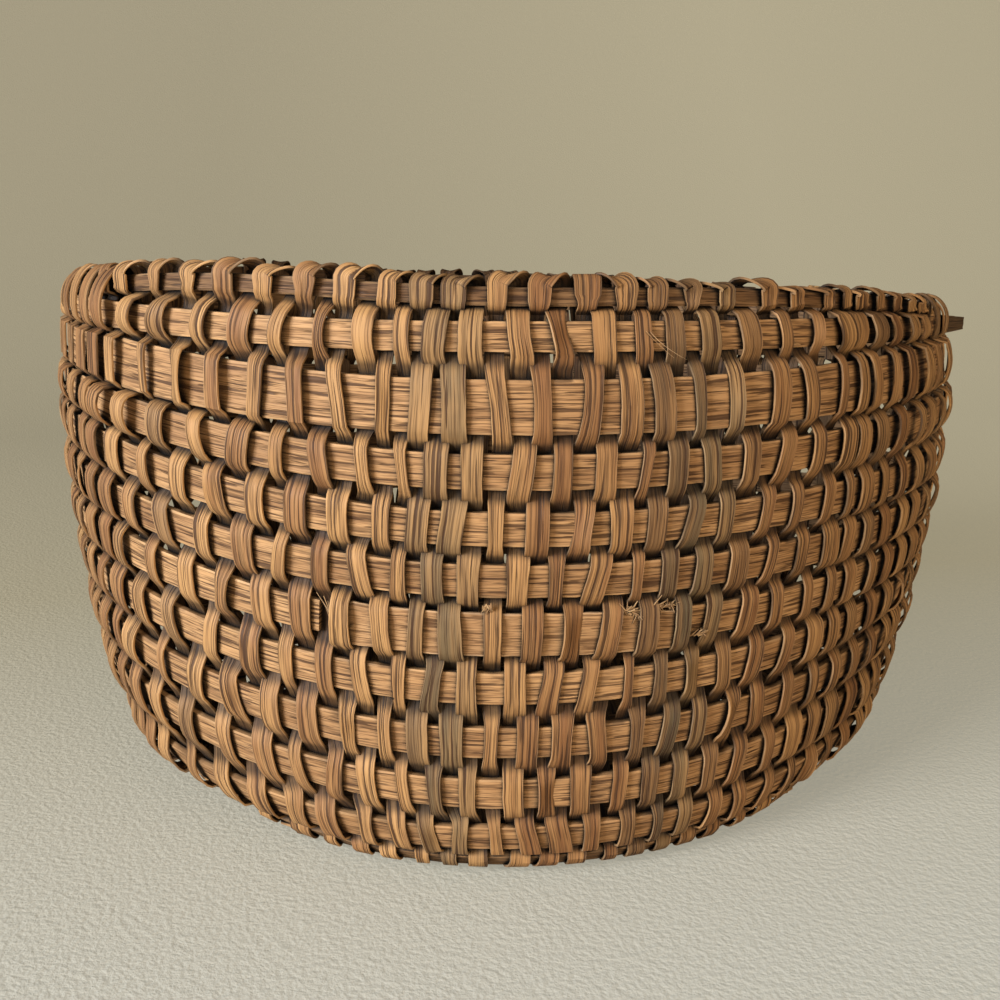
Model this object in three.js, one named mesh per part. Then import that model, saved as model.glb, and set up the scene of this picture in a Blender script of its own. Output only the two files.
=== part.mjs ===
// Harvest basket of flat wooden splints: a deep oval bowl without a handle.
// Stiff hoops go round the wall. Long thin cross weavers run under the woven base and rise to
// the rim on both long sides, and shorter weavers close the two ends.
// Every weaver passes outside one hoop and inside the next, and every other one loops over the rim.
// Millimetres, +Z up, X along the length, origin on the table under the middle of the basket.

import * as THREE from "three";

// Driving dimensions of the bowl, taken at the middle of the splints
const BELLY_LENGTH = 313.2; // widest length, at the belly
const BELLY_DEPTH = 228.6; // widest depth, front to back
const END_BELLY_SHARE = 0.626; // share of the wall's height at which the two ends stand widest apart
const SIDE_BELLY_SHARE = 0.88; // the same for the front and the back
const RIM_END_DRAW = 5.4; // how far the rim lies inside the belly at each end
const RIM_SIDE_DRAW = 2; // the same at the front and the back
const FOOT_END_DRAW = 17; // how far the turn of the foot lies inside the belly at each end
const FOOT_SIDE_DRAW = 11.3; // the same at the front and the back
const RIM_HEIGHT = 178; // top edge of the rim hoop above the table
const RIM_SHIFT = 1.6; // how far the rim stands to the right of the widest row
const WIDEST_ROW = 4; // rows from the rim down to the widest hoop
const SHOULDER_DRAW = 0.045; // how much the plan is drawn in between the sides and the ends
const FOOT_RADIUS = 11; // rounding between wall and base
const FOOT_HOOP_TURN = 66; // how far round that rounding the foot hoop lies, in degrees
const END_TAPER = 2; // how late the two ends draw in below the belly, as a power
const SIDE_TAPER = 1.3; // the same for the two long sides

// How much higher each hoop lies at the left end and at the right end than in the middle of the
// front, from the rim down to the foot
const CLIMBS = [
  [5, -3.4], [5.2, -3.4], [11.4, 2.4], [14.6, 4.2], [18.6, 3.8], [20.4, 4],
  [21.4, 7.2], [21.8, 11], [20.7, 12.3], [17.8, 11.2], [11, 11.3], [8, 10.5],
];
const CLIMB_POWER = 2.5; // how late a hoop climbs on its way to the end, as a power
const FLAT_SHARE = 0.3; // share of the base length that lies flat on the table

// Splints
const HOOP_THICK = 2.2;
const WALL_HOOP_WIDTH = 9.8; // ordinary wall hoop
const TOP_HOOP_WIDTH = 7.6; // rim hoop and the hoop just under it
const BROAD_HOOP_WIDTH = 13.6; // the broad third hoop
const FOOT_HOOP_WIDTH = 8.5; // hoop in the turn between wall and base
const BASE_RIB_WIDTH = 9.8;
const BASE_RIB_THICK = 2.2;
const WEAVER_WIDTH = 15.5;
const WEAVER_THICK = 1;
const SPLICE_WIDTH = 13.8; // short splint laid over the seventh hoop to mend it
const SPLICE_THICK = 1;
const LOOP_RADIUS = 2.7; // loop of a weaver over the rim hoop, at the middle of the splint

// Spacing of the rows, measured up the wall
const RIM_TO_SECOND = 9.8; // rim hoop to second hoop
const SECOND_TO_THIRD = 18.4; // second hoop to the broad hoop
const FOOT_TO_WALL = 14; // foot hoop to the lowest wall hoop, round the turn
const WALL_STEPS = 8; // equal steps from the broad hoop down to the lowest wall hoop

// Counts round the basket
const PLACES = 40; // weaver places round the wall
const CROSS_WEAVERS = 11; // weavers that run on under the base, an odd number
const BASE_RIBS = 11; // lengthwise ribs of the base
const SPLICE_PLACES = 5; // places that the splice covers on the front
const SPLICED_HOOP = "hoop_07"; // hoop that the splice mends
const LOOP_STEPS = 4; // straight runs in the loop of a weaver over the rim

// Clearances
const SEAT_GAP = 0.3; // between two splints that touch
const BEND_SHARE = 0.24; // share of the gap between two rows that a weaver runs straight on before it bends
const RIB_END_GAP = 3.5; // from a base rib's end to the foot hoop

// Height of the middle of the base ribs
const baseHeight = WEAVER_THICK + SEAT_GAP + BASE_RIB_THICK / 2;

// Distance up the wall from the end of the foot rounding, for the middle of each row
const rimTopReach = RIM_HEIGHT - baseHeight - FOOT_RADIUS;
const rimReach = rimTopReach - TOP_HOOP_WIDTH / 2;
const endBellyReach = END_BELLY_SHARE * rimReach;
const sideBellyReach = SIDE_BELLY_SHARE * rimReach;
const broadReach = rimReach - RIM_TO_SECOND - SECOND_TO_THIRD;
const footReach = -FOOT_RADIUS * THREE.MathUtils.degToRad(FOOT_HOOP_TURN);
const lowestReach = footReach + FOOT_TO_WALL;
const wallPitch = (broadReach - lowestReach) / WALL_STEPS;

// Rows from the rim down to the foot
const rows = [
  { name: "rim_hoop", reach: rimReach, width: TOP_HOOP_WIDTH },
  { name: "hoop_02", reach: rimReach - RIM_TO_SECOND, width: TOP_HOOP_WIDTH },
  { name: "hoop_03_broad", reach: broadReach, width: BROAD_HOOP_WIDTH },
];
for (let step = 1; step <= WALL_STEPS; step++) {
  const number = String(rows.length + 1).padStart(2, "0");
  const reach = broadReach - step * wallPitch;
  rows.push({ name: `hoop_${number}`, reach, width: WALL_HOOP_WIDTH });
}
rows.push({ name: "foot_hoop", reach: footReach, width: FOOT_HOOP_WIDTH });
const splicedRow = rows.findIndex(({ name }) => name === SPLICED_HOOP);
const lastRow = rows.length - 1;

// Angles of equally spaced places round the belly ellipse, counted from the middle of the front.
// Whole numbers are weaver places and halves are the corners of the hoops between them.
const placeAngles = equalAngles(BELLY_LENGTH / 2, BELLY_DEPTH / 2, PLACES * 2);

function equalAngles(halfLength, halfDepth, count) {
  const fine = 7200;
  const lengths = [0];
  for (let i = 1; i <= fine; i++) {
    const from = -Math.PI / 2 + ((i - 1) / fine) * 2 * Math.PI;
    const to = -Math.PI / 2 + (i / fine) * 2 * Math.PI;
    const dx = halfLength * (Math.cos(to) - Math.cos(from));
    const dy = halfDepth * (Math.sin(to) - Math.sin(from));
    lengths.push(lengths[i - 1] + Math.hypot(dx, dy));
  }
  const angles = [];
  let i = 0;
  for (let k = 0; k < count; k++) {
    const wanted = (lengths[fine] * k) / count;
    while (lengths[i] < wanted) i++;
    angles.push(-Math.PI / 2 + (i / fine) * 2 * Math.PI);
  }
  return angles;
}

function angleAt(place) {
  const index = Math.round(place * 2);
  const count = PLACES * 2;
  return placeAngles[((index % count) + count) % count];
}

// Half length or half depth of the bowl at a reach up the wall
function halfAt(reach, belly, bellyReach, rimDraw, footDraw, taper) {
  const level = Math.max(reach, 0);
  if (level > bellyReach) {
    const share = (level - bellyReach) / (rimReach - bellyReach);
    return belly / 2 - rimDraw * share * share;
  }
  const share = (bellyReach - level) / bellyReach;
  return belly / 2 - footDraw * share ** taper;
}

// Climb of a row at a share of its half length. The foot and the base lie flat in the middle,
// and the hoop above them half as much.
function climbAt(row, lengthShare) {
  const flat = (FLAT_SHARE * Math.max(row - lastRow + 2, 0)) / 2;
  const along = Math.max(Math.abs(lengthShare) - flat, 0) / (1 - flat);
  const [left, right] = CLIMBS[row];
  return (lengthShare < 0 ? left : right) * along ** CLIMB_POWER;
}

// How far a row stands to the right of the widest one. The foot stands to its left.
function shiftOf(row) {
  return RIM_SHIFT * (1 - row / WIDEST_ROW);
}

// How much the plan is drawn in at an angle round the basket
function drawAt(angle) {
  return 1 - SHOULDER_DRAW * Math.sin(2 * angle) ** 2;
}

// Point of a row on the middle surface of the wall or of the foot rounding
function wallPoint(row, place, reach) {
  const angle = angleAt(place);
  const draw = drawAt(angle);
  const turn = Math.max(-reach, 0) / FOOT_RADIUS;
  const inset = FOOT_RADIUS * (1 - Math.cos(turn));
  const height = reach > 0 ? FOOT_RADIUS + reach : FOOT_RADIUS * (1 - Math.sin(turn));
  const halfLength = halfAt(
    reach, BELLY_LENGTH, endBellyReach, RIM_END_DRAW, FOOT_END_DRAW, END_TAPER,
  );
  const halfDepth = halfAt(
    reach, BELLY_DEPTH, sideBellyReach, RIM_SIDE_DRAW, FOOT_SIDE_DRAW, SIDE_TAPER,
  );
  return new THREE.Vector3(
    shiftOf(row) + (halfLength - inset) * Math.cos(angle) * draw,
    (halfDepth - inset) * Math.sin(angle) * draw,
    baseHeight + height + climbAt(row, Math.cos(angle) * draw),
  );
}

// Inner edge of the foot hoop, which bounds the base, and the depth of its middle
const footInnerReach = footReach - FOOT_HOOP_WIDTH / 2;
const footInnerInset = FOOT_RADIUS * (1 - Math.cos(footInnerReach / FOOT_RADIUS));
const footInset = FOOT_RADIUS * (1 - Math.cos(footReach / FOOT_RADIUS));
const baseHalfLength = BELLY_LENGTH / 2 - FOOT_END_DRAW - footInnerInset;
const baseHalfDepth = BELLY_DEPTH / 2 - FOOT_SIDE_DRAW - footInnerInset;
const footCentreDepth = BELLY_DEPTH / 2 - FOOT_SIDE_DRAW - footInset;
const basePitch = (2 * footCentreDepth) / (BASE_RIBS + 1);

// Point on the middle surface of the base, which climbs towards both ends with the foot hoop
function basePoint(x, y) {
  const height = baseHeight + climbAt(lastRow, x / baseHalfLength);
  return new THREE.Vector3(x + shiftOf(lastRow), y, height);
}

// Distance from the middle of the base at which a weaver place or a corner lies. The cross
// weavers lie evenly spaced between the two outermost ones.
const lastCross = (CROSS_WEAVERS - 1) / 2;
const lastAngle = angleAt(lastCross);
const crossPitch = (baseHalfLength * Math.cos(lastAngle) * drawAt(lastAngle)) / lastCross;

function baseLengthAt(place) {
  return crossPitch * place;
}

// Frame of one flat facet: its middle, the direction round the basket, the direction up the
// wall or along the weaver, and the direction that points out of the basket.
function facetFrame(lowLeft, lowRight, highLeft, highRight) {
  const middle = new THREE.Vector3()
    .add(lowLeft).add(lowRight).add(highLeft).add(highRight)
    .multiplyScalar(0.25);
  const round = new THREE.Vector3().subVectors(lowRight, lowLeft);
  round.add(highRight).sub(highLeft).normalize();
  const up = new THREE.Vector3().addVectors(highLeft, highRight).sub(lowLeft).sub(lowRight);
  up.addScaledVector(round, -up.dot(round)).normalize();
  const out = new THREE.Vector3().crossVectors(round, up);
  return { middle, round, up, out };
}

function hoopFrame(row, place) {
  const { reach, width } = rows[row];
  const low = reach - width / 2;
  const high = reach + width / 2;
  return facetFrame(
    wallPoint(row, place - 0.5, low), wallPoint(row, place + 0.5, low),
    wallPoint(row, place - 0.5, high), wallPoint(row, place + 0.5, high),
  );
}

// On the base the weaver runs along -Y from the back edge to the front edge of a rib,
// so that out of the basket points down.
function ribFrame(y, place) {
  const half = BASE_RIB_WIDTH / 2;
  const left = baseLengthAt(place - 0.5);
  const right = baseLengthAt(place + 0.5);
  return facetFrame(
    basePoint(left, y + half), basePoint(right, y + half),
    basePoint(left, y - half), basePoint(right, y - half),
  );
}

// Closed solid through a run of four-cornered sections, open or joined into a ring
function loft(sections, ring) {
  const corners = 4;
  const positions = sections.flat().flatMap((point) => [point.x, point.y, point.z]);
  const faces = [];
  const spans = ring ? sections.length : sections.length - 1;
  for (let s = 0; s < spans; s++) {
    const next = (s + 1) % sections.length;
    for (let c = 0; c < corners; c++) {
      const side = (c + 1) % corners;
      const a = s * corners + c;
      const b = s * corners + side;
      const d = next * corners + c;
      const e = next * corners + side;
      faces.push(a, b, e, a, e, d);
    }
  }
  if (!ring) {
    const end = (sections.length - 1) * corners;
    faces.push(0, 2, 1, 0, 3, 2);
    faces.push(end, end + 1, end + 2, end, end + 2, end + 3);
  }
  const geometry = new THREE.BufferGeometry();
  geometry.setAttribute("position", new THREE.Float32BufferAttribute(positions, 3));
  geometry.setIndex(signedVolume(positions, faces) < 0 ? faces.reverse() : faces);
  geometry.computeVertexNormals();
  return geometry;
}

function signedVolume(positions, faces) {
  const at = (index) => new THREE.Vector3().fromArray(positions, index * 3);
  let volume = 0;
  for (let i = 0; i < faces.length; i += 3) {
    const normal = at(faces[i + 1]).cross(at(faces[i + 2]));
    volume += at(faces[i]).dot(normal) / 6;
  }
  return volume;
}

// Section of a flat splint: round gives its width and out its thickness
function flatSection(low, high, out, thick) {
  return [
    low.clone().addScaledVector(out, -thick / 2),
    low.clone().addScaledVector(out, thick / 2),
    high.clone().addScaledVector(out, thick / 2),
    high.clone().addScaledVector(out, -thick / 2),
  ];
}

// Outward direction of a hoop at one of its corners, halfway between its two facets
function cornerOut(row, corner) {
  const before = hoopFrame(row, corner - 0.5).out;
  const after = hoopFrame(row, corner + 0.5).out;
  return before.add(after).normalize();
}

function hoopGeometry(row) {
  const { reach, width } = rows[row];
  const sections = [];
  for (let place = 0; place < PLACES; place++) {
    const corner = place + 0.5;
    const low = wallPoint(row, corner, reach - width / 2);
    const high = wallPoint(row, corner, reach + width / 2);
    sections.push(flatSection(low, high, cornerOut(row, corner), HOOP_THICK));
  }
  return loft(sections, true);
}

// Short splint that mends the seventh hoop, lying on its outer face under the weavers
const spliceOffset = HOOP_THICK / 2 + SEAT_GAP + SPLICE_THICK / 2;

function spliceGeometry() {
  const { reach } = rows[splicedRow];
  const sections = [];
  for (let i = 0; i <= SPLICE_PLACES; i++) {
    const corner = i - SPLICE_PLACES / 2;
    const out = cornerOut(splicedRow, corner);
    const low = wallPoint(splicedRow, corner, reach - SPLICE_WIDTH / 2);
    const high = wallPoint(splicedRow, corner, reach + SPLICE_WIDTH / 2);
    low.addScaledVector(out, spliceOffset);
    high.addScaledVector(out, spliceOffset);
    sections.push(flatSection(low, high, out, SPLICE_THICK));
  }
  return loft(sections, false);
}

function isSpliced(row, place) {
  return row === splicedRow && Math.abs(place) <= (SPLICE_PLACES - 1) / 2;
}

// Distance from the middle of a hoop to the middle of a weaver that lies on it
const weaverOffset = HOOP_THICK / 2 + SEAT_GAP + WEAVER_THICK / 2;
const ribOffset = BASE_RIB_THICK / 2 + SEAT_GAP + WEAVER_THICK / 2;

function outsideOffset(row, place) {
  return isSpliced(row, place) ? weaverOffset + SEAT_GAP + SPLICE_THICK : weaverOffset;
}

// A weaver is outside the hoops where row and place add up to an even number
function isOutside(row, place) {
  return (row + place) % 2 === 0;
}

// Stop on a weaver's middle line: a point, and the direction of the weaver's width there
function stopAt(frame, along, off) {
  const point = frame.middle.clone();
  point.addScaledVector(frame.up, along).addScaledVector(frame.out, off);
  return { point, across: frame.round };
}

// Half width of what lies in a row at a place
function halfWidth(row, place) {
  return (isSpliced(row, place) ? SPLICE_WIDTH : rows[row].width) / 2;
}

// Distance from the lower edge of a row to the bend of a weaver under it
const baseBend = BEND_SHARE * (basePitch - BASE_RIB_WIDTH);

function bendBelow(row, place) {
  if (row === lastRow) return baseBend;
  const apart = hoopFrame(row, place).middle.distanceTo(hoopFrame(row + 1, place).middle);
  return BEND_SHARE * (apart - halfWidth(row, place) - halfWidth(row + 1, place));
}

// Stops beside one hoop, from above its upper edge to below its lower edge
function hoopStops(row, place) {
  const frame = hoopFrame(row, place);
  const half = halfWidth(row, place);
  const off = isOutside(row, place) ? outsideOffset(row, place) : -weaverOffset;
  return [
    stopAt(frame, half + bendBelow(row - 1, place), off),
    stopAt(frame, -half - bendBelow(row, place), off),
  ];
}

// Top of a weaver: outside weavers loop over the rim and end behind it, inside ones end at its top.
// The loop is a round bow that stands on the rim hoop's upper edge, open over it.
const loopFoot = Math.acos(weaverOffset / LOOP_RADIUS);

function rimStops(place) {
  const frame = hoopFrame(0, place);
  const half = rows[0].width / 2;
  const low = -half - bendBelow(0, place);
  if (!isOutside(0, place)) {
    return [stopAt(frame, half, -weaverOffset), stopAt(frame, low, -weaverOffset)];
  }
  const centre = half + LOOP_RADIUS * Math.sin(loopFoot);
  const stops = [stopAt(frame, -half + SEAT_GAP, -weaverOffset)];
  for (let step = 0; step <= LOOP_STEPS; step++) {
    const turn = Math.PI + loopFoot - ((Math.PI + 2 * loopFoot) * step) / LOOP_STEPS;
    const along = centre + LOOP_RADIUS * Math.sin(turn);
    stops.push(stopAt(frame, along, LOOP_RADIUS * Math.cos(turn)));
  }
  stops.push(stopAt(frame, low, weaverOffset));
  return stops;
}

// Solid of a weaver along its stops, its thickness kept through every bend
function weaverGeometry(stops) {
  const sections = stops.map((stop, i) => {
    const before = i > 0 ? faceBetween(stops[i - 1], stop) : null;
    const after = i < stops.length - 1 ? faceBetween(stop, stops[i + 1]) : null;
    const face = new THREE.Vector3().add(before ?? after).add(after ?? before).normalize();
    const stretch = 1 / face.dot(after ?? before);
    const left = stop.point.clone().addScaledVector(stop.across, -WEAVER_WIDTH / 2);
    const right = stop.point.clone().addScaledVector(stop.across, WEAVER_WIDTH / 2);
    return flatSection(left, right, face, WEAVER_THICK * stretch);
  });
  return loft(sections, false);
}

// Direction square to the weaver's face on the run between two stops
function faceBetween(from, to) {
  const run = new THREE.Vector3().subVectors(to.point, from.point);
  const across = new THREE.Vector3().addVectors(from.across, to.across);
  return across.cross(run).normalize();
}

// Half length of a base rib, which ends between two cross weavers or near the foot hoop
function ribHalfLength(y) {
  const edge = (Math.abs(y) + BASE_RIB_WIDTH / 2) / (baseHalfDepth - RIB_END_GAP);
  const angle = Math.asin(Math.min(edge / drawAt(Math.asin(Math.min(edge, 1))), 1));
  const limit = (baseHalfLength - RIB_END_GAP) * Math.cos(angle) * drawAt(angle);
  const reached = crossPlaces().filter((place) => {
    return place >= 0 && baseLengthAt(place) + WEAVER_WIDTH / 2 + SEAT_GAP < limit;
  });
  const outermost = Math.max(...reached);
  return outermost === lastCross ? limit : baseLengthAt(outermost + 0.5);
}

function crossPlaces() {
  return Array.from({ length: CROSS_WEAVERS }, (_, i) => i - lastCross);
}

function ribDepthAt(number) {
  return (number - (BASE_RIBS + 1) / 2) * basePitch;
}

function baseRibGeometry(y) {
  const half = ribHalfLength(y);
  const corners = Array.from({ length: CROSS_WEAVERS + 1 }, (_, i) => baseLengthAt(i - lastCross - 0.5));
  const inner = corners.filter((x) => Math.abs(x) < half - SEAT_GAP);
  const lengths = [-half, ...inner, half].sort((a, b) => a - b);
  const up = new THREE.Vector3(0, 0, 1);
  const sections = lengths.map((x) => {
    const front = basePoint(x, y - BASE_RIB_WIDTH / 2);
    const back = basePoint(x, y + BASE_RIB_WIDTH / 2);
    return flatSection(front, back, up, BASE_RIB_THICK);
  });
  return loft(sections, false);
}

// Stops under or over one base rib, running from the front of the basket to the back
function ribStops(number, place) {
  const frame = ribFrame(ribDepthAt(number), place);
  const half = BASE_RIB_WIDTH / 2 + baseBend;
  const off = isOutside(lastRow + number, place) ? ribOffset : -ribOffset;
  return [stopAt(frame, half, off), stopAt(frame, -half, off)];
}

// One long weaver: down the front wall, along under the base and up the back wall
function crossWeaverGeometry(place) {
  const backPlace = PLACES / 2 - place;
  const stops = wallStops(place);
  for (let number = 1; number <= BASE_RIBS; number++) {
    const crossed = Math.abs(baseLengthAt(place)) < ribHalfLength(ribDepthAt(number));
    if (crossed) stops.push(...ribStops(number, place));
  }
  const back = wallStops(backPlace).reverse();
  for (const stop of back) stop.across = stop.across.clone().negate();
  return weaverGeometry(stops.concat(back));
}

// All stops of one weaver on the wall, from the rim down to the foot hoop
function wallStops(place) {
  const stops = rimStops(place);
  for (let row = 1; row <= lastRow; row++) stops.push(...hoopStops(row, place));
  return stops;
}

// Weathered oak in three tones: stiff hoops, thin weavers and the paler splice
const hoopWood = { color: 0xb08a5c, roughness: 0.8, metalness: 0 };
const weaverWood = { color: 0x9a7148, roughness: 0.75, metalness: 0 };
const spliceWood = { color: 0xa98155, roughness: 0.8, metalness: 0 };

const basket = new THREE.Group();

function addPiece(name, geometry, wood) {
  const piece = new THREE.Mesh(geometry, new THREE.MeshStandardMaterial(wood));
  piece.name = name;
  basket.add(piece);
}

rows.forEach(({ name }, row) => addPiece(name, hoopGeometry(row), hoopWood));
addPiece("splice_splint", spliceGeometry(), spliceWood);

for (let number = 1; number <= BASE_RIBS; number++) {
  const label = String(number).padStart(2, "0");
  addPiece(`base_rib_${label}`, baseRibGeometry(ribDepthAt(number)), hoopWood);
}

crossPlaces().forEach((place, i) => {
  const label = String(i + 1).padStart(2, "0");
  addPiece(`cross_weaver_${label}`, crossWeaverGeometry(place), weaverWood);
});

const endWeavers = PLACES / 2 - CROSS_WEAVERS;
for (let i = 1; i <= endWeavers; i++) {
  const label = String(i).padStart(2, "0");
  const right = lastCross + i;
  addPiece(`right_weaver_${label}`, weaverGeometry(wallStops(right)), weaverWood);
  addPiece(`left_weaver_${label}`, weaverGeometry(wallStops(-right)), weaverWood);
}

export default basket;
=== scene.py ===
"""Harvest basket woven of flat oak splints: stiff hoops, thin weavers looped over the rim."""

import collections
import functools
import math
import random

import bpy
import numpy as np
from mathutils import Matrix, Vector


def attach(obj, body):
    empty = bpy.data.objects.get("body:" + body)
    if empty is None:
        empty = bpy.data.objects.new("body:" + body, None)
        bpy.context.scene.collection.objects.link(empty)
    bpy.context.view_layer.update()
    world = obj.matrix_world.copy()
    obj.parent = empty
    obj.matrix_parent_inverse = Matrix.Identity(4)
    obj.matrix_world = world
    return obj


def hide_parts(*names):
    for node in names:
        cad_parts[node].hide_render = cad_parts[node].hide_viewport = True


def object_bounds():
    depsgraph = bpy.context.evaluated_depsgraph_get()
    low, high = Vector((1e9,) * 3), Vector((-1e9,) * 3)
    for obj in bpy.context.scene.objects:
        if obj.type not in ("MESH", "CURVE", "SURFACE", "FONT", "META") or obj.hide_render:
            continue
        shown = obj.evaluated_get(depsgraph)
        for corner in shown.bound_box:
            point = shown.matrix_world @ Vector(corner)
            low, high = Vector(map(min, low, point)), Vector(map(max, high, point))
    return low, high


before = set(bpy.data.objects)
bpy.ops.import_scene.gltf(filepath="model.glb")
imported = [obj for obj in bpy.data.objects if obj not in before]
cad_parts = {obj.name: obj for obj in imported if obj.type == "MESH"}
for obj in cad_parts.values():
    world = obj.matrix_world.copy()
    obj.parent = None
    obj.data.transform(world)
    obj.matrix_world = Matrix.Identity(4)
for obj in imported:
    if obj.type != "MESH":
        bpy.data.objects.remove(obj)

cad_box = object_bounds()


# ---- Camera ----
# It stands a little above the rim and a little to the left of the basket's long side,
# near enough that the ends fall away on both sides.

CAMERA_PLACE = (-0.0595, -0.3971, 0.190)
CAMERA_TURN = math.radians(-7.7)
CAMERA_DOWN = math.radians(13.44)
CAMERA_LENS, CAMERA_SENSOR = 39.6, 36
camera_data = bpy.data.cameras.new("camera")
camera_data.sensor_width = CAMERA_SENSOR
camera_data.lens = CAMERA_LENS
camera = bpy.data.objects.new("camera", camera_data)
camera.matrix_world = (
    Matrix.Translation(CAMERA_PLACE)
    @ Matrix.Rotation(CAMERA_TURN, 4, "Z")
    @ Matrix.Rotation(math.pi / 2 - CAMERA_DOWN, 4, "X")
)
bpy.context.scene.collection.objects.link(camera)
bpy.context.scene.camera = camera


# ---- Table and light ----
# A plain pale surface under the basket, swept up into a backdrop well behind it. Soft window
# light comes from the front left, and a weak even light fills the shadows.

TABLE_COLOUR = (0.65, 0.645, 0.55, 1)
TABLE_FAR_COLOUR = (0.54, 0.485, 0.33, 1)  # behind the basket, where warmer light reaches it
TABLE_FAR = (-0.15, 0.2)  # where it turns from the one to the other
TABLE_SHARE = 0.46  # share of the colour that the table gives back to the lamps
MOTTLE_SCALE, MOTTLE_SHADE = 560, 0.84
TABLE_LIFT = (0.38, 0.58)  # light that the table adds to itself for the camera, left and right
TABLE_LIFT_ACROSS = (-0.25, 0.6)  # where it turns from the one to the other
BACKDROP_COLOUR = (0.42, 0.39, 0.27, 1)
TABLE_HALF, TABLE_HEIGHT = 4.0, cad_box[0][2]
SWEEP_FROM, SWEEP_RADIUS, SWEEP_STEPS, BACKDROP_TOP = 0.72, 0.9, 24, 3.0
LIGHTS = {
    # name: (place, size, watts, colour)
    "window": ((-1.30, -0.82, 0.58), 0.7, 43.5, (0.97, 0.96, 1.0)),
    "room": ((0.45, -1.4, 0.32), 1.2, 18.0, (1.0, 0.74, 0.48)),
}
LIGHTS_AIM = Vector((0, 0, 0.09))  # the middle of the basket
SKY_COLOUR, SKY_STRENGTH = (1.0, 0.98, 0.95, 1), 0.13


def new_material(name):
    material = bpy.data.materials.new(name)
    material.use_nodes = True
    return material, material.node_tree, material.node_tree.nodes["Principled BSDF"]


def new_node(tree, kind, inputs, **settings):
    """Outputs of a new node, made with its settings and with a link or a value for each input."""
    node = tree.nodes.new(kind)
    for key, value in settings.items():
        setattr(node, key, value)
    for key, value in inputs.items():
        if isinstance(value, bpy.types.NodeSocket):
            tree.links.new(value, node.inputs[key])
        else:
            node.inputs[key].default_value = value
    return node.outputs


def sums(tree, operation, *values):
    return new_node(tree, "ShaderNodeMath", dict(enumerate(values)), operation=operation)[0]


def noise(tree, place, scale=1.0, detail=3.0, distortion=0.0):
    return new_node(tree, "ShaderNodeTexNoise", {
        "Vector": place, "Scale": scale, "Detail": detail, "Distortion": distortion})["Fac"]


def mixed(tree, factor, a, b, how="MIX"):
    return new_node(tree, "ShaderNodeMix", {"Factor": factor, "A": a, "B": b},
                    data_type="RGBA", blend_type=how)["Result"]


def ranged(tree, value, low, high, to_low=0.0, to_high=1.0, how="SMOOTHSTEP"):
    numbers = dict(enumerate((value, low, high, to_low, to_high)))
    return new_node(tree, "ShaderNodeMapRange", numbers, interpolation_type=how)[0]


def bumped(tree, shader, height, strength, distance):
    normal = new_node(tree, "ShaderNodeBump", {
        "Height": height, "Strength": strength, "Distance": distance})["Normal"]
    tree.links.new(normal, shader.inputs["Normal"])


table_material, tree, shader = new_material("pale_table")
place = new_node(tree, "ShaderNodeTexCoord", {})["Object"]
across, away, _ = new_node(tree, "ShaderNodeSeparateXYZ", {0: place})
mottle = noise(tree, place, MOTTLE_SCALE)
shaded = MOTTLE_SHADE * TABLE_SHARE
tint = mixed(tree, mottle, (*[TABLE_SHARE] * 3, 1), (*[shaded] * 3, 1))
ground = mixed(tree, ranged(tree, away, *TABLE_FAR, how="LINEAR"), TABLE_COLOUR, TABLE_FAR_COLOUR)
tree.links.new(mixed(tree, 1.0, ground, tint, "MULTIPLY"), shader.inputs["Base Color"])
tree.links.new(ground, shader.inputs["Emission Color"])
by_camera = new_node(tree, "ShaderNodeLightPath", {})["Is Camera Ray"]
lift = ranged(tree, across, *TABLE_LIFT_ACROSS, *TABLE_LIFT, how="LINEAR")
tree.links.new(sums(tree, "MULTIPLY", by_camera, lift), shader.inputs["Emission Strength"])
bumped(tree, shader, mottle, strength=0.8, distance=0.001)
shader.inputs["Roughness"].default_value = 0.6

table_mesh = bpy.data.meshes.new("table")
sweep = [(-TABLE_HALF, 0.0)]
for step in range(SWEEP_STEPS + 1):
    turn = math.pi / 2 * step / SWEEP_STEPS
    sweep.append((SWEEP_FROM + SWEEP_RADIUS * math.sin(turn), SWEEP_RADIUS * (1 - math.cos(turn))))
sweep.append((SWEEP_FROM + SWEEP_RADIUS, BACKDROP_TOP))
table_mesh.from_pydata(
    [(x, y, z + TABLE_HEIGHT) for y, z in sweep for x in (-TABLE_HALF, TABLE_HALF)],
    [], [(2 * i, 2 * i + 1, 2 * i + 3, 2 * i + 2) for i in range(len(sweep) - 1)],
)
table_mesh.shade_smooth()
table_mesh.materials.append(table_material)
table = bpy.data.objects.new("table", table_mesh)
bpy.context.scene.collection.objects.link(table)

for name, (spot, size, watts, colour) in LIGHTS.items():
    light_data = bpy.data.lights.new(name, "AREA")
    light_data.size = size
    light_data.energy = watts
    light_data.color = colour
    light = bpy.data.objects.new(name, light_data)
    light.location = spot
    light.rotation_euler = (LIGHTS_AIM - Vector(spot)).to_track_quat("-Z", "Y").to_euler()
    bpy.context.scene.collection.objects.link(light)

world = bpy.data.worlds.new("world")
bpy.context.scene.world = world
world.use_nodes = True
tree = world.node_tree
sky = tree.nodes["Background"]
sky.inputs["Color"].default_value = SKY_COLOUR
sky.inputs["Strength"].default_value = SKY_STRENGTH
seen = new_node(tree, "ShaderNodeBackground", {"Color": BACKDROP_COLOUR})[0]
by_camera = new_node(tree, "ShaderNodeLightPath", {})["Is Camera Ray"]
choice = new_node(tree, "ShaderNodeMixShader", {0: by_camera, 1: sky.outputs[0], 2: seen})[0]
tree.links.new(choice, tree.nodes["World Output"].inputs["Surface"])
bpy.context.scene.view_settings.view_transform = "Standard"


# ---- Hoops ----
# Twelve stiff oak splints, riven and shaved flat, bent round the basket one above the other.
# Each is lapped on itself in a long scarf. They lie on the wall of an oval bowl that is widest
# above the middle, and they climb towards its two ends.

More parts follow.
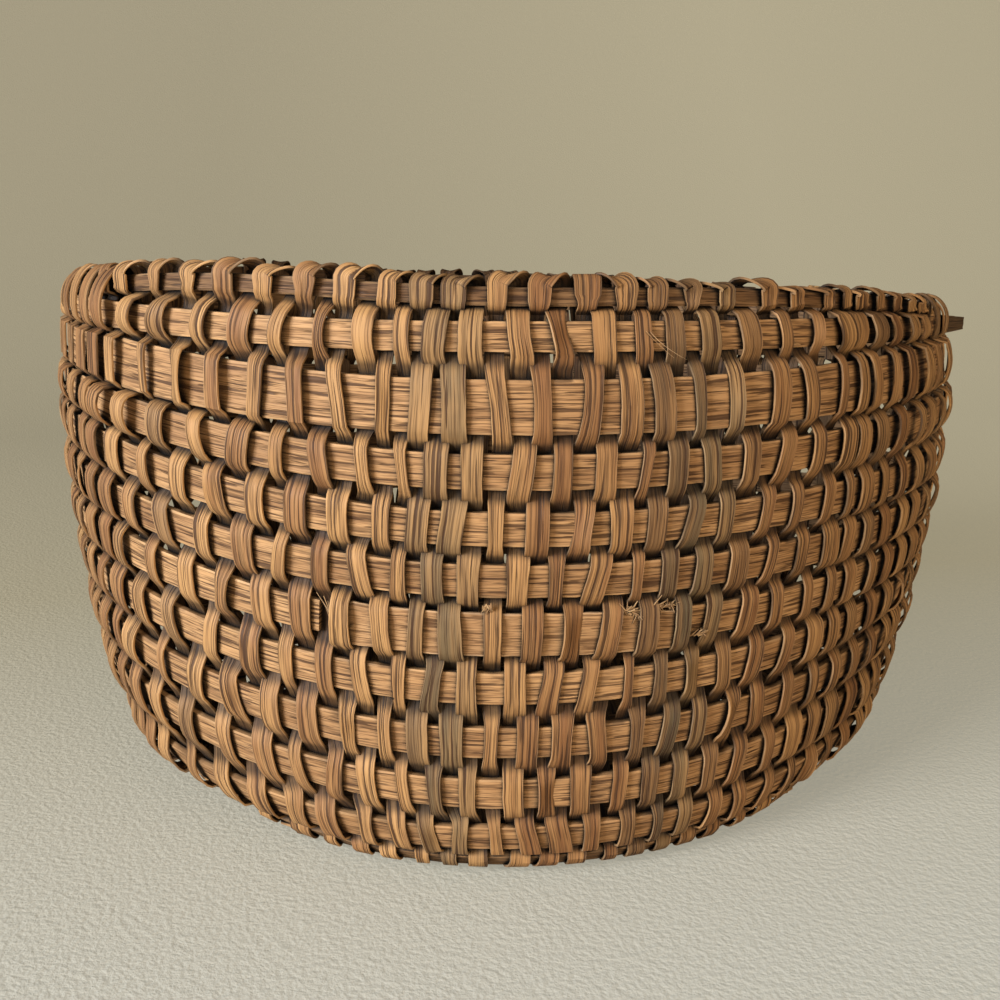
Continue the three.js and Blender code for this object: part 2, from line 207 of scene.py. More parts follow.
MM = 0.001
Hoop = collections.namedtuple("Hoop", "name length depth height left right shift width lap")
HOOPS = [Hoop(*values) for values in (
    # name, then in millimetres half length, half depth, height at the front, climb to the left
    # end, climb to the right end, shift to the right and width, and the angle of the lap
    ("rim_hoop", 147.5, 112.4, 175.0, -1.6, -12.5, 0.0, 4.8, 96),
    ("hoop_02", 150.6, 114.2, 164.6, 4.5, -4.6, -0.1, 7.8, -19),
    ("hoop_03_broad", 153.8, 114.2, 146.2, 12.0, 4.0, 1.4, 14.6, 75),
    ("hoop_04", 155.4, 113.4, 128.8, 17.3, 4.6, 1.2, 9.8, 118),
    ("hoop_05", 155.8, 111.8, 112.6, 20.4, 3.8, 0.7, 9.8, 60),
    ("hoop_06", 155.2, 109.8, 97.3, 20.0, 3.8, 0.2, 9.8, 104),
    ("hoop_07", 153.9, 108.0, 81.3, 21.0, 6.2, -0.2, 9.8, 82),
    ("hoop_08", 152.4, 106.9, 64.3, 21.6, 11.0, -0.7, 9.6, 125),
    ("hoop_09", 150.0, 106.0, 47.2, 20.9, 12.3, -1.2, 9.6, 68),
    ("hoop_10", 145.9, 105.0, 30.3, 18.0, 11.2, -1.7, 9.6, 110),
    ("hoop_11", 139.8, 103.0, 14.9, 11.4, 11.6, -0.9, 8.8, 88),
    ("foot_hoop", 129.0, 98.4, 4.8, 17.0, 16.0, -1.0, 7.6, 132),
)]
FOOT = len(HOOPS) - 1
CLIMB_POWER = 2.5
HOOP_THICK = 2.2
RIM_LIFT = 3.5  # how far the rim rises between the sides and the left end
BACK_SAG, BACK_TILT = 4.2, 1.0  # how much lower the back of the rim hangs, and more on its right
SAG_ROWS = 4  # over this many rows that dies away
SHOULDER_DRAW = 0.045  # how much the plan is drawn in between the sides and the ends
SWAY_OUT, SWAY_UP, SWAY_WIDE = 0.7, 0.5, 0.035  # unevenness, in millimetres and as a share
FOOT_UPRIGHT = 2.6  # how upright the foot hoop stands on its turn, where 1 is half way
FOOT_FLAT = 0.3  # share of the foot's length that lies flat on the table
FLAT_FROM = 9  # the last row that climbs all along, and the ones under it lie ever flatter
LAP = math.radians(14)
LAP_TIP, LAP_SLIP = 0.18, 0.9  # how thin the tips of a lap are, and how far they lie on each other
# Gaps in degrees, beside and under the splice
BROKEN_HOOP, BROKEN = "hoop_07", ((242.6, 244.2), (274.5, 282.6))
# The outer end of this hoop has sprung out, and is narrower and darker there
SPRUNG_HOOP, SPRUNG_BY, SPRUNG_FROM, SPRUNG_NARROW = "hoop_02", 10.0, math.radians(9), 0.45
SHADED_ROWS = (0, FOOT)  # the hoops of the rim and the foot are darker all round, in tone and by painted shade
RING_STEPS = 420
UPRIGHT_ROWS = 2  # the uppermost hoops stand upright, the others follow the wall
NUDGE = 0.01  # the angle either way that gives a hoop's direction
sway = random.Random(11)
SWAYS = [
    [(n, sway.uniform(-1, 1) / n, sway.uniform(0, 2 * math.pi)) for n in (2, 3, 4, 5, 7, 9)]
    for _ in range(3 * len(HOOPS))
]


def swayed(which, angle):
    return sum(size * np.sin(n * angle + start) for n, size, start in SWAYS[which])


def climb(row, along):
    """Height that a hoop gains at a share of its half length. The foot lies flat in the middle."""
    hoop = HOOPS[row]
    flat = FOOT_FLAT * max(row - FLAT_FROM, 0) / (FOOT - FLAT_FROM)
    reach = np.maximum(np.abs(along) - flat, 0) / (1 - flat)
    lift = RIM_LIFT * np.sin(math.pi * np.clip(-along, 0, 1) ** 2) if row == 0 else 0.0
    return np.where(along < 0, hoop.left, hoop.right) * reach ** CLIMB_POWER + lift


def hoop_point(row, angle):
    """Middle of a hoop at an angle, 0 at the right end and -90 degrees at the front."""
    hoop = HOOPS[row]
    angle = np.asarray(angle, float)
    draw = 1 - SHOULDER_DRAW * np.sin(2 * angle) ** 2
    loose = 1 - (row / FOOT) ** 3
    spread = SWAY_OUT * loose * swayed(row, angle)
    x = (hoop.length + spread) * np.cos(angle) * draw
    y = (hoop.depth + spread) * np.sin(angle) * draw
    rise = SWAY_UP * loose * swayed(row + len(HOOPS), angle)
    z = hoop.height + climb(row, np.cos(angle) * draw) + rise
    sag = (BACK_SAG + BACK_TILT * np.cos(angle)) * np.maximum(np.sin(angle), 0) ** 1.5
    z = z - sag * max(1 - row / SAG_ROWS, 0)
    return np.stack([x + hoop.shift, y, z], -1)


def smooth(x):
    x = np.clip(x, 0, 1)
    return x * x * (3 - 2 * x)


def unit(v):
    return v / np.linalg.norm(v, axis=-1, keepdims=True)


def hoop_frame(row, angle):
    """Middle, direction round the basket, direction up the wall and direction outwards."""
    middle = hoop_point(row, angle)
    ahead = unit(hoop_point(row, angle + NUDGE) - hoop_point(row, angle - NUDGE))
    above = hoop_point(max(row - 1, 0), angle)
    below = hoop_point(min(row + 1, FOOT), angle)
    up = unit(above - below)
    if row < UPRIGHT_ROWS:
        up = np.zeros_like(middle) + np.array([0.0, 0, 1])
    if row == FOOT:
        up = up * FOOT_UPRIGHT + unit(middle * np.array([1, 1, 0]))
    out = unit(np.cross(ahead, up))
    return middle, ahead, unit(np.cross(out, ahead)), out


def named(tree, name, kind="FLOAT"):
    return new_node(tree, "GeometryNodeInputNamedAttribute", {"Name": name},
                    data_type=kind)["Attribute"]


def stored(tree, geometry, name, value, kind="FLOAT", domain="POINT"):
    return new_node(tree, "GeometryNodeStoreNamedAttribute", {
        "Geometry": geometry, "Name": name, "Value": value}, data_type=kind, domain=domain)[0]


def vectors(tree, operation, first, second, result="Vector"):
    slot = "Scale" if operation == "SCALE" else 1
    return new_node(tree, "ShaderNodeVectorMath", {0: first, slot: second},
                    operation=operation)[result]


def combined(tree, *parts):
    return new_node(tree, "ShaderNodeCombineXYZ", dict(enumerate(parts)))[0]


def sockets(tree, way, kind, *names):
    """Give a tree its named inputs or outputs."""
    for name in names:
        tree.interface.new_socket(name, in_out=way, socket_type="NodeSocket" + kind)


def arithmetic(tree):
    """Functions that add, subtract and multiply values in one tree."""
    return [functools.partial(sums, tree, name) for name in ("ADD", "SUBTRACT", "MULTIPLY")]


SWING = 4.0  # a noise strays from its middle by about a quarter each way
CORNER = 0.98  # share of a section's half width beyond which a point is a corner
ROUGH_SCALE = 170
RIDGES_ALONG, RIDGES_ACROSS, FACES_APART = 45.0, 700.0, 3.0  # pattern of the ridges on a face


def splint_tree():
    """Geometry Nodes tree that turns paths into flat splints with shaved edges and uneven faces."""
    tree = bpy.data.node_groups.new("splint", "GeometryNodeTree")
    tree.is_modifier = True
    sockets(tree, "INPUT", "Geometry", "Paths")
    sockets(tree, "INPUT", "Float", "Width", "Thickness", "Edge", "Ragged", "Relief", "Seed")
    sockets(tree, "INPUT", "Int", "Cuts")
    sockets(tree, "INPUT", "Material", "Material")
    sockets(tree, "OUTPUT", "Geometry", "Splints")
    plus, less, times = arithmetic(tree)
    given = new_node(tree, "NodeGroupInput", {})
    half_width, half_thick = times(given["Width"], 0.5), times(given["Thickness"], 0.5)

    # The section, whose points know how far to the side and how far out they lie
    section = new_node(tree, "GeometryNodeCurvePrimitiveQuadrilateral", {
        "Width": given["Thickness"], "Height": given["Width"]})["Curve"]
    section = new_node(tree, "GeometryNodeSubdivideCurve", {
        "Curve": section, "Cuts": given["Cuts"]})["Curve"]
    place = new_node(tree, "GeometryNodeInputPosition", {})[0]
    x, y, _ = new_node(tree, "ShaderNodeSeparateXYZ", {0: place})
    section = stored(tree, section, "rel", sums(tree, "DIVIDE", y, half_width))
    section = stored(tree, section, "layer", sums(tree, "DIVIDE", x, half_thick))

    # Swept along the paths, turned to face as they say
    facing = named(tree, "facing", "FLOAT_VECTOR")
    strip = new_node(tree, "GeometryNodeMeshToCurve", {"Mesh": given["Paths"]})["Curve"]
    strip = new_node(tree, "GeometryNodeSetCurveNormal", {"Curve": strip, "Normal": facing},
                     mode="FREE")["Curve"]
    strip = new_node(tree, "GeometryNodeCurveToMesh", {
        "Curve": strip, "Profile Curve": section, "Fill Caps": True})["Mesh"]

    # Shaved corners, uneven edges, and the width and thickness that the paths say
    side, depth, along = named(tree, "rel"), named(tree, "layer"), named(tree, "along")
    corner = times(*[sums(tree, "GREATER_THAN", sums(tree, "ABSOLUTE", way), CORNER)
                     for way in (side, depth)])
    inward = times(times(corner, given["Edge"]), times(sums(tree, "SIGN", side), -1.0))
    rough = new_node(tree, "ShaderNodeTexNoise", {
        "W": given["Seed"], "Scale": ROUGH_SCALE, "Detail": 3}, noise_dimensions="4D")["Fac"]
    wander = times(less(rough, 0.5), times(given["Ragged"], SWING))
    widen = times(less(named(tree, "wide"), 1.0), half_width)
    spread = plus(times(plus(widen, wander), side), inward)
    thicken = times(times(less(named(tree, "deep"), 1.0), half_thick), depth)

    # Ridges along the faces
    across = times(side, half_width)
    lie = combined(tree, times(along, RIDGES_ALONG), times(across, RIDGES_ACROSS),
                   plus(times(depth, FACES_APART), given["Seed"]))
    ridge = times(less(noise(tree, lie), 0.5), times(given["Relief"], SWING / 2))
    ridge = times(ridge, sums(tree, "SIGN", depth))

    sideways = vectors(tree, "SCALE", named(tree, "across", "FLOAT_VECTOR"), spread)
    outwards = vectors(tree, "SCALE", facing, plus(thicken, ridge))
    strip = new_node(tree, "GeometryNodeSetPosition", {
        "Geometry": strip, "Offset": vectors(tree, "ADD", sideways, outwards)})[0]
    strip = stored(tree, strip, "grain", combined(tree, across, along), "FLOAT2", "CORNER")
    strip = new_node(tree, "GeometryNodeRealizeInstances", {"Geometry": strip})[0]
    strip = new_node(tree, "GeometryNodeSetMaterial", {
        "Geometry": strip, "Material": given["Material"]})[0]
    new_node(tree, "NodeGroupOutput", {"Splints": strip})
    return tree


SPLINT_TREE = splint_tree()
SHARP = math.radians(38)  # splints are shaded with a crease along edges turned more than this


def splints(name, strips, sizes, material, replaced):
    """One piece made of strips. A strip is a dict of arrays: points, facing and across, all in
    millimetres or directions, and wide, deep, along, tone, aged and bend for each point."""
    points = np.concatenate([s["points"] for s in strips]) * MM
    edges, start = [], 0
    for strip in strips:
        count = len(strip["points"])
        edges.append(np.stack([np.arange(count - 1), np.arange(1, count)], 1) + start)
        start += count
    mesh = bpy.data.meshes.new(name)
    mesh.from_pydata(points.tolist(), np.concatenate(edges).tolist(), [])
    for key in ("facing", "across"):
        values = np.concatenate([s[key] for s in strips]).astype(np.float32)
        mesh.attributes.new(key, "FLOAT_VECTOR", "POINT").data.foreach_set("vector", values.ravel())
    for key in ("wide", "deep", "along", "tone", "aged", "bend"):
        values = np.concatenate(
            [np.broadcast_to(s[key], len(s["points"])) for s in strips]).astype(np.float32)
        mesh.attributes.new(key, "FLOAT", "POINT").data.foreach_set("value", values)
    paths = bpy.data.objects.new(name + "_paths", mesh)
    bpy.context.scene.collection.objects.link(paths)
    modifier = paths.modifiers.new("splint", "NODES")
    modifier.node_group = SPLINT_TREE
    for item in SPLINT_TREE.interface.items_tree:
        if item.in_out == "INPUT" and item.name in sizes:
            modifier[item.identifier] = sizes[item.name]
        if item.name == "Material":
            modifier[item.identifier] = material
    whole = bpy.data.meshes.new_from_object(
        paths.evaluated_get(bpy.context.evaluated_depsgraph_get()))
    bpy.data.objects.remove(paths)
    for key in ("facing", "across", "wide", "deep", "along"):
        whole.attributes.remove(whole.attributes[key])
    whole.shade_smooth()
    whole.set_sharp_from_angle(angle=SHARP)
    piece = bpy.data.objects.new(name, whole)
    bpy.context.scene.collection.objects.link(piece)
    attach(piece, "root")
    if replaced:
        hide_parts(*replaced)


def lengths(points, start=0.0):
    steps = np.linalg.norm(np.diff(points, axis=0), axis=1)
    return (np.concatenate([[0], np.cumsum(steps)]) + start) * MM


# Patterns of the grain: how much finer and shorter than given, start, detail and distortion
HAIR, LINE, BAND = (1.7, 2.0, 1.0, 3.0), (0.75, 1.0, 5.0, 3.0, 0.15), (0.28, 0.3, 9.0, 2.0)
PATCH_SCALE = 42
TONE_APART = 37.0  # how far apart in the pattern the palest and the darkest splint lie


def grain_group():
    """Shader group for riven oak: long grain, dark pores in dashes, weathering, pale edges, and
    painted shade where a splint passes in behind a hoop and on its inner faces.
    """
    tree = bpy.data.node_groups.new("oak_grain", "ShaderNodeTree")
    sockets(tree, "INPUT", "Color", "Light", "Dark", "Pore", "Aged", "Edge")
    sockets(tree, "INPUT", "Float", "Fine", "Long", "Pore depth", "Edge share", "Inside")
    sockets(tree, "OUTPUT", "Color", "Color")
    sockets(tree, "OUTPUT", "Float", "Roughness", "Height")
    plus, less, times = arithmetic(tree)
    given = new_node(tree, "NodeGroupInput", {})

    def attribute(name):
        return new_node(tree, "ShaderNodeAttribute", {}, attribute_name=name)["Fac"]

    grain = new_node(tree, "ShaderNodeUVMap", {}, uv_map="grain")[0]
    u, v, _ = new_node(tree, "ShaderNodeSeparateXYZ", {0: grain})
    tone = attribute("tone")

    def streaks(finer, shorter, start, detail, distortion=0.0):
        place = combined(tree, times(u, times(given["Fine"], finer)),
                         times(v, times(given["Long"], shorter)),
                         sums(tree, "MULTIPLY_ADD", tone, TONE_APART, start))
        return noise(tree, place, 1.0, detail, distortion)

    hair, line, band = streaks(*HAIR), streaks(*LINE), streaks(*BAND)
    patch = noise(tree, new_node(tree, "ShaderNodeTexCoord", {})["Object"], PATCH_SCALE)

    # Body colour: each strand has its tone, in broad bands and patches
    body = plus(times(tone, 0.75), times(less(band, 0.5), 1.3))
    body = plus(body, times(less(patch, 0.5), 0.7))
    colour = mixed(tree, ranged(tree, body, -0.1, 1.0), given["Light"], given["Dark"])
    # Grey of age, in patches
    weather = times(ranged(tree, patch, 0.25, 0.6, 0.5), ranged(tree, band, 0.3, 0.6, 0.55))
    colour = mixed(tree, times(attribute("aged"), weather), colour, given["Aged"])
    # Fine dark hair lines, and the deep pores
    colour = mixed(tree, ranged(tree, hair, 0.42, 0.62, 0.0, 0.6), colour, given["Pore"])
    pore = times(ranged(tree, line, 0.55, 0.61), given["Pore depth"])
    colour = mixed(tree, pore, colour, given["Pore"])
    # Pale edges, partly where the wood is worn and partly a painted highlight
    worn_edge_and_highlight = times(ranged(tree, sums(tree, "ABSOLUTE", attribute("rel")), 0.93, 0.99),
                given["Edge share"])
    worn_edge_and_highlight = times(worn_edge_and_highlight, ranged(tree, patch, 0.4, 0.6, 0.25))
    colour = mixed(tree, worn_edge_and_highlight, colour, given["Edge"])
    # Painted shade where a splint's bend is low, as where it passes in behind a hoop, and on the
    # inner faces
    inner = sums(tree, "MAXIMUM", given["Inside"], ranged(tree, attribute("layer"), -0.9, 0.0))
    tucked_shade = times(ranged(tree, attribute("bend"), -0.3, 0.6, 0.3), inner)
    new_node(tree, "NodeGroupOutput", {
        "Color": mixed(tree, 1.0, colour, tucked_shade, "MULTIPLY"),
        "Roughness": ranged(tree, hair, 0.3, 0.8, 0.58, 0.82),
        "Height": less(times(hair, -0.5), pore),
    })
    return tree


OAK_GRAIN = grain_group()
CREASE = 0.0032  # how wide a crease between splints still gets painted shade
CREASE_OPEN = (0.42, 0.8)  # how open it is where the painted shade is darkest, and where there is none
CREASE_DARK = 0.01
GRAIN_DEPTH = 0.00025  # how far the grain's bump reaches in
AGED_OAK = (0.16, 0.12, 0.07)


def oak(name, colours, fine, long, pore_depth, edge_share, bump, inside=1.0):
    """Material of one kind of oak splint, with painted shade in the creases beside its neighbours.
    """
    material, tree, shader = new_material(name)
    values = zip(("Light", "Dark", "Pore", "Aged", "Edge"), colours)
    grain = new_node(tree, "ShaderNodeGroup", {
        **{key: (*colour, 1) for key, colour in values}, "Fine": fine, "Long": long,
        "Pore depth": pore_depth, "Edge share": edge_share, "Inside": inside}, node_tree=OAK_GRAIN)
    # Ambient occlusion darkens the colour in the creases between splints: painted shade.
    crease = new_node(tree, "ShaderNodeAmbientOcclusion", {"Distance": CREASE}, samples=6)["AO"]
    crease_shade = ranged(tree, crease, *CREASE_OPEN, CREASE_DARK, how="LINEAR")
    crease_shaded = mixed(tree, 1.0, grain["Color"], crease_shade, "MULTIPLY")
    tree.links.new(crease_shaded, shader.inputs["Base Color"])
    tree.links.new(grain["Roughness"], shader.inputs["Roughness"])
    bumped(tree, shader, grain["Height"], bump, GRAIN_DEPTH)
    shader.inputs["Specular IOR Level"].default_value = 0.3
    return material


# The hoops' inner faces are painted at half brightness (inside=0.5): painted shade.
hoop_oak = oak(
    "hoop_oak",
    ((0.49, 0.288, 0.126), (0.24, 0.122, 0.048), (0.055, 0.024, 0.009), AGED_OAK,
     (0.55, 0.35, 0.17)),
    fine=1700, long=50, pore_depth=0.85, edge_share=0.4, bump=0.8, inside=0.5,
)
shade_draw = random.Random(5)
for row, hoop in enumerate(HOOPS):
    lap_start = math.radians(hoop.lap)
    angle = np.linspace(lap_start - LAP / 2, lap_start + 2 * math.pi + LAP / 2, RING_STEPS)
    middle, _, up, out = hoop_frame(row, angle)
    from_start = (angle - angle[0]) / LAP
    from_end = (angle[-1] - angle) / LAP
    deep = np.clip(np.minimum(from_start, from_end), LAP_TIP, 1)
    overlap = np.clip(1 - from_end, 0, 1) - np.clip(1 - from_start, 0, 1)
    slip = LAP_SLIP * overlap * HOOP_THICK / 2
    wide = 1 + SWAY_WIDE * swayed(row + 2 * len(HOOPS), angle)
    dark = 0.0
    if hoop.name == SPRUNG_HOOP:
        freed = np.clip(1 - (angle[-1] - angle) / SPRUNG_FROM, 0, 1)
        slip += SPRUNG_BY * freed ** 1.5
        wide -= SPRUNG_NARROW * freed
        dark = smooth(2 * freed)
    points = middle + out * slip[:, None]
    # The rim and foot hoops get a darker tone, and a low bend that paints shade on them all round.
    shaded = row in SHADED_ROWS
    strip = {
        "points": points, "facing": out, "across": -up, "deep": deep, "wide": wide,
        "along": lengths(points, 400 * row), "tone": shade_draw.uniform(0.1, 0.6) + 0.5 * shaded,
        "aged": 0.8 * dark, "bend": (0.1 if shaded else 1.0) - 1.8 * dark,
    }
    strips = [strip]
    if hoop.name == BROKEN_HOOP:
        cuts = [0, *np.searchsorted(angle, np.radians(BROKEN).ravel()), RING_STEPS]
        strips = [{key: value[first:last] if np.ndim(value) else value
                   for key, value in strip.items()} for first, last in zip(cuts[::2], cuts[1::2])]
    splints(hoop.name + "_splint", strips,
            {"Width": hoop.width * MM, "Thickness": HOOP_THICK * MM, "Edge": 0.5 * MM,
             "Ragged": 0.15 * MM, "Relief": 0.35 * MM, "Seed": float(row), "Cuts": 9},
            hoop_oak, [hoop.name])


# ---- Splice ----
# A short wide oak splint that mends the broken seventh hoop. It is laid on the outside of the
# hoop on the front, its ends thinned, and only the weavers that cross it hold it there.

SPLICED = 6
SPLICE_WIDTH, SPLICE_THICK, SPLICE_STEPS = 13.2, 1.0, 90
SPLICE_FROM, SPLICE_TO = math.radians(-115.5), math.radians(-76.8)
SPLICE_DROP = 1.6  # how far its right end hangs down
SPLICE_GAP = 0.15
splice_oak = oak(
    "splice_oak",
    ((0.46, 0.275, 0.125), (0.29, 0.15, 0.062), (0.09, 0.042, 0.016), AGED_OAK,
     (0.62, 0.44, 0.26)),
    fine=1700, long=60, pore_depth=0.7, edge_share=0.4, bump=0.7,
)
angle = np.linspace(SPLICE_FROM, SPLICE_TO, SPLICE_STEPS)
middle, _, up, out = hoop_frame(SPLICED, angle)
drop = SPLICE_DROP * np.linspace(0, 1, SPLICE_STEPS) ** 6
points = middle + out * (HOOP_THICK / 2 + SPLICE_THICK / 2 + SPLICE_GAP) - up * drop[:, None]
cut_back = np.minimum(np.arange(SPLICE_STEPS), np.arange(SPLICE_STEPS)[::-1]) / 4
strip = {
    "points": points, "facing": out, "across": -up, "deep": np.clip(0.5 + 0.1 * cut_back, 0, 1),
    "wide": np.clip(0.72 + 0.28 * cut_back ** 0.6, 0, 1) - 0.09 * drop, "along": lengths(points),
    "tone": 0.35, "aged": 0.0, "bend": 1.0,
}
splints("splice_splint_piece", [strip],
        {"Width": SPLICE_WIDTH * MM, "Thickness": SPLICE_THICK * MM, "Edge": 0.2 * MM,
         "Ragged": 0.25 * MM, "Relief": 0.3 * MM, "Seed": 40.0, "Cuts": 7},
        splice_oak, ["splice_splint"])


# ---- Base ribs ----
# Eleven stiff oak splints lie lengthwise under the floor of the basket, their thinned ends near
# the foot hoop. Nothing fastens them but the strands that pass over and under them.

BASE_RIBS = 11
BASE_RIB_WIDTH, BASE_RIB_THICK = 9.8, 2.2
BASE_HEIGHT = 1.95
BASE_PITCH = 16.28
BASE_HALF_LENGTH, BASE_HALF_DEPTH = 130.0, 94.0


def base_point(x, y):
    x = np.asarray(x, float)
    height = BASE_HEIGHT + climb(FOOT, x / HOOPS[FOOT].length)
    return np.stack([x, np.broadcast_to(y, x.shape), height], -1)


def rib_reach(y):
    edge = (abs(y) + BASE_RIB_WIDTH / 2) / BASE_HALF_DEPTH
    return BASE_HALF_LENGTH * math.sqrt(max(1 - edge * edge, 0))


RIB_LINES = [(number - (BASE_RIBS + 1) / 2) * BASE_PITCH for number in range(1, BASE_RIBS + 1)]
for number, y in enumerate(RIB_LINES, 1):
    reach = rib_reach(y)
    x = np.linspace(-reach, reach, max(int(reach), 12))
    points = base_point(x, y)
    ends = np.minimum(x + reach, reach - x)
    strip = {
        "points": points,
        "facing": np.broadcast_to([0.0, 0, -1], points.shape),
        "across": np.broadcast_to([0.0, 1, 0], points.shape),
        "deep": np.clip(0.5 + ends / 16, 0, 1), "wide": np.clip(0.6 + ends / 12, 0, 1),
        "along": lengths(points, 300 * number), "tone": shade_draw.uniform(0.2, 0.7),
        "aged": 0.0, "bend": 1.0,
    }
    name = f"base_rib_{number:02d}"
    splints(name + "_splint", [strip],
            {"Width": BASE_RIB_WIDTH * MM, "Thickness": BASE_RIB_THICK * MM, "Edge": 0.5 * MM,
             "Ragged": 0.15 * MM, "Relief": 0.3 * MM, "Seed": 50.0 + number, "Cuts": 5},
            hoop_oak, [name])


# ---- Weavers ----
# Thin oak splints, 6 mm wide, woven over one hoop and under the next. Each rises outside the rim
# hoop, loops over it and goes down inside it as its neighbour. The strands of the two long
# sides run on under the base, over and under its ribs. Some are old and have turned grey.

STRANDS = 148
WEAVER_WIDTH, WEAVER_THICK = 6.1, 0.7
LAST_CROSS = 28
SEAT = HOOP_THICK / 2 + WEAVER_THICK / 2 + 0.1
TWISTED, NARROWED = 0.05, 0.3  # shares of the outer crossings where a strand is twisted or narrow
SLACK, INNER_SLACK = (0.15, 0.7), 0.15  # how far a strand bulges off a hoop, outside and inside
STAND_OFF, HIGH_STAND_OFF = (1.0, 2.8), (0.8, 2.2)  # more of it near the ends, and below the rim
HIGH_ROWS = (1, 2, 3)
FOOT_SLACK, FOOT_SEAT, SPLICE_SEAT = 0.2, 0.7, 0.55
TWIST, NARROWING, WAIST = (0.3, 0.6), (0.1, 0.35), (0, 0.5)
LEAN_BACK_ROW, LEAN_BACK = 10, -0.8  # above the foot the crests lie high instead of low
# Shares of a hoop's half width: where a strand starts to turn in below it and has come out above
# it, and how far a crest, a twist, a lean and a narrow place reach
TURN_IN, COME_OUT, COME_OUT_HIGH, COME_OUT_END = 0.85, 0.8, 1.15, 0.15
CREST_REACH, TWIST_REACH, LEAN_REACH, NARROW_REACH, CREST_DROP = 1.75, 1.4, 2.0, 1.8, 0.4
LEAST_TURN = 0.25  # share of the way between two hoops that a strand needs at least to turn
STEPS = 10  # path points from one crossing to the next
LOOP_STEPS = 17
LOOP_RISE, LOOP_LESS_BACK, LOOP_LESS_RIGHT = (2.3, 3.8), 1.4, 1.6
TAIL_LENGTH, TAIL_DROP = 11, 0.6
RIM_LEAN = 0.45  # how far strands lean towards the front's middle at the rim, in strand pitches
END_LOOPS_FROM = 0.87  # share of the half length beyond which each strand has a loop of its own
# A crossing where a strand lies straight and flat
PLAIN = {"bulge": 0.0, "end": 0.0, "twist": 0.0, "narrow": 0.0, "lean": 0.0, "waist": 0.0,
         "over": COME_OUT}
AGED_STRANDS = {
    # strand: how grey it is
    -8: 0.65, -7: 0.85, -6: 0.85, -5: 0.4, 4: 0.55, 5: 0.75, 6: 0.95, 7: 0.85, 8: 0.75, 9: 0.3,
    -21: 0.4, -34: 0.4, 19: 0.4, 27: 0.5, 40: 0.5, -52: 0.5, 60: 0.6,
}
# How far strands -13 to 16 stand from their even places, in pitches, high and low on the wall
HIGH_SHIFTS = (0.3, 0.2, 0.6, 0.5, 0.5, 0.3, 0.1, -0.1, -0.2, 0, 0.1, 0, 0, 0.3, 0.1, 0.2, 0,
               -0.2, -0.4, -0.3, -0.5, -0.3, -0.2, 0.4, 0.1, 0.5, 0.4, 1.1, 0.9, 0.7)
LOW_SHIFTS = (0.1, 0.3, 0.1, 0.4, 0.2, 0.2, 0, 0, -0.2, 0.1, 0.3, 0, 0.1, -0.2, 0, -0.3, 0.2,
              -0.1, 0, -0.2, -0.2, -0.5, -0.3, -0.5, -0.4, -0.6, -0.1, -0.3, 0.1, -0.1)
SHIFTED_FROM = -13
# How far the strands on the shoulders are moved towards the ends, in pitches, by their number from
# the middle of a side: on the left shoulders, with more low down, and on the right ones low down
SPREAD_AT = (6, 14, 17, 24, 37)
LEFT_SPREAD, RIGHT_SPREAD = (0, 0, 0.5, 2.6, 0), (0, 0.5, 0.7, 0.9, 0)
draw = random.Random(23)


def equal_angles(length, depth, count):
    """Angles of equally spaced points on an oval, from the middle of the front."""
    fine = np.linspace(-math.pi / 2, 1.5 * math.pi, 7201)
    x, y = length * np.cos(fine), depth * np.sin(fine)
    run = np.concatenate([[0], np.cumsum(np.hypot(np.diff(x), np.diff(y)))])
    return np.interp(np.arange(count + 1) * run[-1] / count, run, fine)


ANGLES = equal_angles(159, 114.5, STRANDS)
JITTER = [draw.uniform(-0.16, 0.16) for _ in range(STRANDS)]
DRIFT = [draw.uniform(-0.2, 0.2) for _ in range(STRANDS)]
BREADTH = [draw.choice((0.7, 0.85, 0.92, 0.98, 1.0, 1.04, 1.1, 1.16)) for _ in range(STRANDS)]
PAIR_TONE = [draw.random() for _ in range(STRANDS // 2)]


def end_share(angle):
    """How near the end of the basket an angle is, from 0 in the middle of a side to 1."""
    return abs(math.cos(angle)) ** 1.6


def strand_angle(strand, row):
    """Angle at which a strand crosses a hoop. Strands are numbered from the middle of the front."""
    index = strand % STRANDS
    base = ANGLES[index] + (strand - index) / STRANDS * 2 * math.pi
    local = ANGLES[index + 1] - ANGLES[index]
    if row == 0:
        base += local * RIM_LEAN * -np.sign(strand) * smooth(2.5 * end_share(base))
    place = (strand + STRANDS // 2) % STRANDS - STRANDS // 2
    low = smooth((row - 4) / 6)
    left = math.cos(base) < 0
    from_middle = min(abs(place), STRANDS // 2 - abs(place))
    spread = np.interp(from_middle, SPREAD_AT, LEFT_SPREAD if left else RIGHT_SPREAD)
    spread *= 1 + 0.4 * low if left else low
    base += local * spread * np.sign(-math.cos(base) * math.sin(base))
    near = place - SHIFTED_FROM
    if 0 <= near < len(HIGH_SHIFTS):
        down = min(max((row - 2) / 6, 0), 1)
        return base + local * (HIGH_SHIFTS[near] * (1 - down) + LOW_SHIFTS[near] * down)
    return base + local * (JITTER[index] + DRIFT[index] * (row / FOOT - 0.5))


def stand_off(angle):
    """How far strands stand off a hoop: most on the shoulders, less at the very ends."""
    return end_share(angle) * (1 - 0.6 * smooth((abs(math.cos(angle)) - 0.88) / 0.12))


